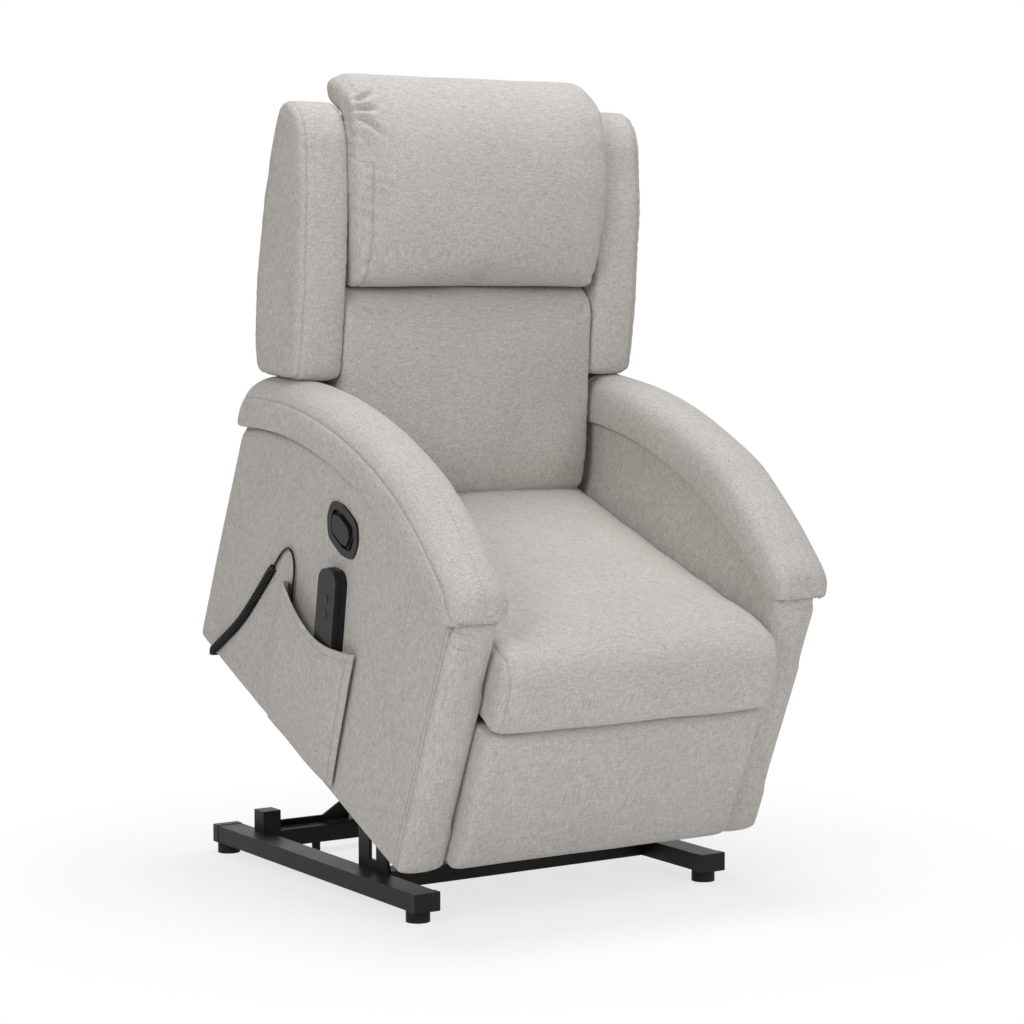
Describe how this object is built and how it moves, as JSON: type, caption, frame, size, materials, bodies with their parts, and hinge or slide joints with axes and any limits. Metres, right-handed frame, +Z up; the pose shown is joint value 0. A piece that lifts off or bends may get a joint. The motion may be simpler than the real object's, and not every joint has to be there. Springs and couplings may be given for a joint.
{
  "type": "lift recliner chair",
  "caption": "Upholstered lift recliner shown raised and tipped forward on a steel base, with arched arms, side wings, folding footrest, pull handle and a wired handset in a side pocket.",
  "frame": {"origin": "on the floor under the middle of the raised chair", "axes": "+Z up, the chair faces -Y, +X is the sitter's left"},
  "size_m": [0.7426, 0.9047, 1.3504],
  "materials": {
    "black_steel": "satin",
    "black_plastic": "satin",
    "rubber_feet": "matt",
    "zinc_steel": "zinc plated",
    "rod_chrome": "polished",
    "timber": "unfinished plywood",
    "upholstery": "heathered weave",
    "charcoal_plastic": "satin",
    "button_plastic": "satin",
    "cord_black": "satin"
  },
  "bodies": {
    "base": {"base_rail_right": "black_steel", "base_rail_left": "black_steel", "front_crossbar": "black_steel", "rear_crossbar": "black_steel", "pivot_upright_right": "black_steel", "pivot_upright_left": "black_steel", "rail_end_caps": "black_plastic", "levelling_feet": "rubber_feet", "crossbar_glides": "rubber_feet", "rest_stops": "black_steel", "actuator_bracket": "black_steel", "base_screws": "zinc_steel", "base_pivot_pins": "zinc_steel"},
    "lift_arms": {"lift_arm_right": "black_steel", "lift_arm_left": "black_steel", "arm_cross_tube": "black_steel"},
    "guide_links": {"guide_links": "black_steel"},
    "actuator_body": {"actuator_tube": "black_steel", "actuator_motor": "black_plastic"},
    "actuator_rod": {"actuator_rod": "rod_chrome", "rod_end": "black_plastic"},
    "carriage": {"chassis_plate_right": "black_steel", "chassis_plate_left": "black_steel", "chassis_cross_tubes": "black_steel", "chassis_pins": "zinc_steel", "arm_frame_right": "timber", "arm_frame_left": "timber", "side_panel_right": "upholstery", "side_panel_left": "upholstery", "arm_pad_right": "upholstery", "arm_pad_left": "upholstery", "seat_frame": "timber", "seat_springs": "zinc_steel", "seat_cushion": "upholstery", "back_hinge_plates": "black_steel", "release_bezel": "charcoal_plastic", "side_pocket": "upholstery", "control_box": "black_plastic", "power_inlet": "black_plastic", "cord_clip": "black_plastic", "handset_cord_lead": "cord_black", "handset_cord_curl": "cord_black", "handset_cord_tail": "cord_black"},
    "backrest": {"back_frame": "timber", "back_springs": "zinc_steel", "lower_back_cushion": "upholstery", "headrest_cushion": "upholstery", "back_wing_right": "upholstery", "back_wing_left": "upholstery", "back_cover": "upholstery", "back_brackets": "black_steel"},
    "foot_rear_links": {"footrest_rear_links": "black_steel"},
    "foot_front_links": {"footrest_front_links": "black_steel"},
    "footrest": {"footrest_board": "timber", "footrest_panel": "upholstery"},
    "release_handle": {"release_handle": "charcoal_plastic"},
    "handset": {"handset_case": "charcoal_plastic", "handset_face": "charcoal_plastic"},
    "raise_button": {"raise_button": "button_plastic"},
    "lower_button": {"lower_button": "button_plastic"}
  },
  "joints": [
    {"name": "lift", "type": "hinge", "parent": "base", "child": "lift_arms", "pos_m": [0, -0.003, 0.17], "axis": [1, 0, 0], "range_deg": [-57.13, 0]},
    {"name": "chair_tilt", "type": "hinge", "parent": "lift_arms", "child": "carriage", "pos_m": [0, 0.14782, 0.39604], "axis": [1, 0, 0], "range_deg": [0, 32.95]},
    {"name": "guide_swing", "type": "hinge", "parent": "base", "child": "guide_links", "pos_m": [0, -0.06, 0.13], "axis": [1, 0, 0], "range_deg": [-67.45, 0]},
    {"name": "actuator_swing", "type": "hinge", "parent": "base", "child": "actuator_body", "pos_m": [0, 0.36, 0.095], "axis": [1, 0, 0], "range_deg": [-5.8, 0]},
    {"name": "rod_slide", "type": "slide", "parent": "actuator_body", "child": "actuator_rod", "axis": [0, -0.9258, 0.3781], "range_m": [-0.0915, 0]},
    {"name": "recline", "type": "hinge", "parent": "carriage", "child": "backrest", "pos_m": [0, 0.18184, 0.59112], "axis": [1, 0, 0], "range_deg": [-45, 0]},
    {"name": "footrest", "type": "hinge", "parent": "carriage", "child": "foot_rear_links", "pos_m": [0, -0.29442, 0.30912], "axis": [1, 0, 0], "range_deg": [-124, 0]},
    {"name": "foot_knee", "type": "hinge", "parent": "foot_rear_links", "child": "foot_front_links", "pos_m": [0, -0.13639, 0.20143], "axis": [1, 0, 0], "range_deg": [0, 145.1]},
    {"name": "foot_panel", "type": "hinge", "parent": "foot_front_links", "child": "footrest", "pos_m": [0, -0.29845, 0.25468], "axis": [1, 0, 0], "range_deg": [-101.1, 0]},
    {"name": "release_handle", "type": "hinge", "parent": "carriage", "child": "release_handle", "pos_m": [-0.3513, -0.13226, 0.5991], "axis": [0, -0.5329, 0.8462], "range_deg": [0, 25], "stiffness_Nm_per_rad": 0.4},
    {"name": "handset_lift", "type": "slide", "parent": "carriage", "child": "handset", "axis": [0, -0.1599, 0.9871], "range_m": [0, 0.018]},
    {"name": "raise_press", "type": "slide", "parent": "handset", "child": "raise_button", "axis": [1, 0, 0], "range_m": [0, 0.0012], "stiffness_N_per_m": 400, "springref_m": -0.0006},
    {"name": "lower_press", "type": "slide", "parent": "handset", "child": "lower_button", "axis": [1, 0, 0], "range_m": [0, 0.0012], "stiffness_N_per_m": 400, "springref_m": -0.0006}
  ],
  "couplings": [
    {"joint": "chair_tilt", "follows": "lift", "ratio": -0.5764},
    {"joint": "guide_swing", "follows": "lift", "ratio": 1.1801},
    {"joint": "actuator_swing", "follows": "lift", "ratio": 0.1007},
    {"joint": "rod_slide", "follows": "lift", "m_per_rad": 0.0915},
    {"joint": "foot_knee", "follows": "footrest", "ratio": -1.1694},
    {"joint": "foot_panel", "follows": "footrest", "ratio": 0.8145}
  ]
}
